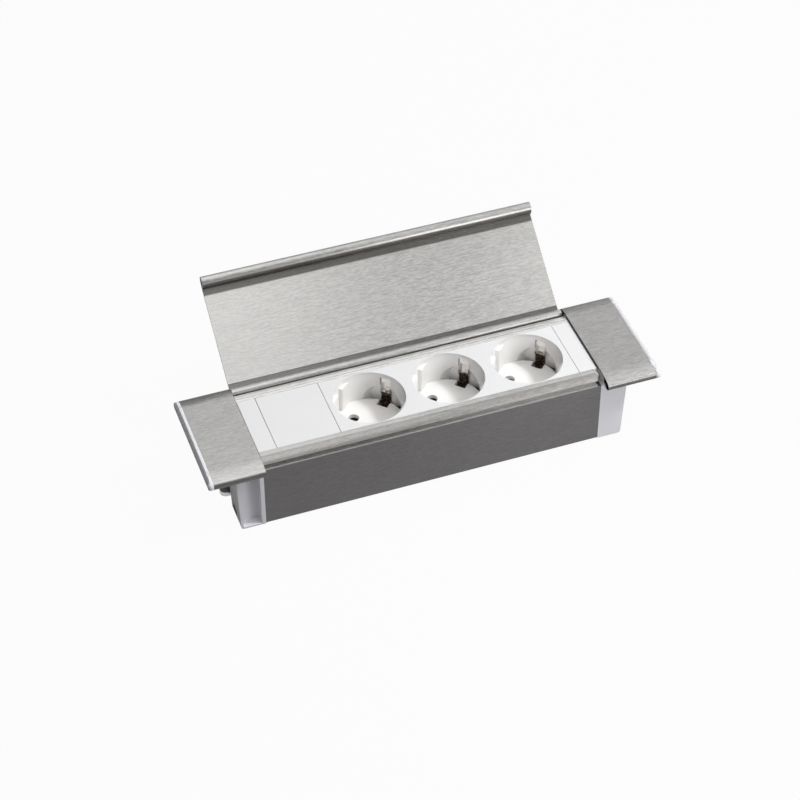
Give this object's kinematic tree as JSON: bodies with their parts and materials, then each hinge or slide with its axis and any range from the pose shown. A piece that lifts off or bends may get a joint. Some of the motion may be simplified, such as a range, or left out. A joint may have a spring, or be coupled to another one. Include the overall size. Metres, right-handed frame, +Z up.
{
  "type": "built-in worktop socket",
  "caption": "Earthed socket block in an aluminium trough with a hinged lid, let into a worktop and clamped from below.",
  "frame": {"origin": "middle of the worktop opening, at the worktop's upper surface", "axes": "+X along the unit to the user's right, +Y away from the user, +Z up"},
  "size_m": [0.2526, 0.1171, 0.0847],
  "materials": {
    "trough_aluminium": "brushed, anodised dark",
    "aluminium": "brushed, anodised",
    "aluminium_sheet": "brushed along the length",
    "light_plastic": "satin",
    "white_plastic": "gloss",
    "carrier_plastic": "matt",
    "black_plastic": "matt",
    "steel": "zinc plated",
    "spring_steel": "nickel plated spring strip",
    "brass": "plain"
  },
  "bodies": {
    "housing": {"blank_plate": "white_plastic", "body_trough": "trough_aluminium", "earth_bar": "brass", "earth_clip_1": "spring_steel", "earth_clip_2": "spring_steel", "earth_clip_3": "spring_steel", "front_rail": "aluminium", "inlet_housing": "black_plastic", "inlet_pin_earth": "brass", "inlet_pin_live": "brass", "inlet_pin_neutral": "brass", "left_cap_screws": "steel", "left_cover": "aluminium_sheet", "left_cover_frame": "light_plastic", "left_cover_trim": "light_plastic", "left_end_cap": "light_plastic", "left_filler": "white_plastic", "left_hinge_pin": "steel", "live_bar": "brass", "live_contact_1": "brass", "live_contact_2": "brass", "live_contact_3": "brass", "neutral_bar": "brass", "neutral_contact_1": "brass", "neutral_contact_2": "brass", "neutral_contact_3": "brass", "rear_rail": "aluminium", "right_cap_screws": "steel", "right_cover": "aluminium_sheet", "right_cover_frame": "light_plastic", "right_cover_trim": "light_plastic", "right_end_cap": "light_plastic", "right_filler": "white_plastic", "right_hinge_pin": "steel", "socket_carrier": "carrier_plastic", "socket_face": "white_plastic"},
    "lid": {"lid": "aluminium_sheet"},
    "left_screw": {"left_clamp_screw": "steel"},
    "left_nut": {"left_clamp_nut": "steel"},
    "left_claw": {"left_clamp_claw": "steel"},
    "right_screw": {"right_clamp_screw": "steel"},
    "right_nut": {"right_clamp_nut": "steel"},
    "right_claw": {"right_clamp_claw": "steel"}
  },
  "joints": [
    {"name": "lid_hinge", "type": "hinge", "parent": "housing", "child": "lid", "pos_m": [0, 0.0302, 0.0024], "axis": [1, 0, 0], "range_deg": [0, 142]},
    {"name": "left_screw_turn", "type": "hinge", "parent": "housing", "child": "left_screw", "pos_m": [-0.103, 0, 0], "axis": [0, 0, -1], "range_deg": [0, 13372.4]},
    {"name": "left_nut_climb", "type": "slide", "parent": "housing", "child": "left_nut", "axis": [0, 0, 1], "range_m": [0, 0.026]},
    {"name": "left_claw_swing", "type": "hinge", "parent": "left_nut", "child": "left_claw", "pos_m": [-0.103, 0, -0.0376], "axis": [0, 0, 1], "range_deg": [0, 90]},
    {"name": "right_screw_turn", "type": "hinge", "parent": "housing", "child": "right_screw", "pos_m": [0.103, 0, 0], "axis": [0, 0, -1], "range_deg": [0, 13372.4]},
    {"name": "right_nut_climb", "type": "slide", "parent": "housing", "child": "right_nut", "axis": [0, 0, 1], "range_m": [0, 0.026]},
    {"name": "right_claw_swing", "type": "hinge", "parent": "right_nut", "child": "right_claw", "pos_m": [0.103, 0, -0.0376], "axis": [0, 0, 1], "range_deg": [0, 90]}
  ],
  "couplings": [
    {"joint": "left_screw_turn", "follows": "left_nut_climb", "rad_per_m": 8976},
    {"joint": "right_screw_turn", "follows": "right_nut_climb", "rad_per_m": 8976}
  ]
}
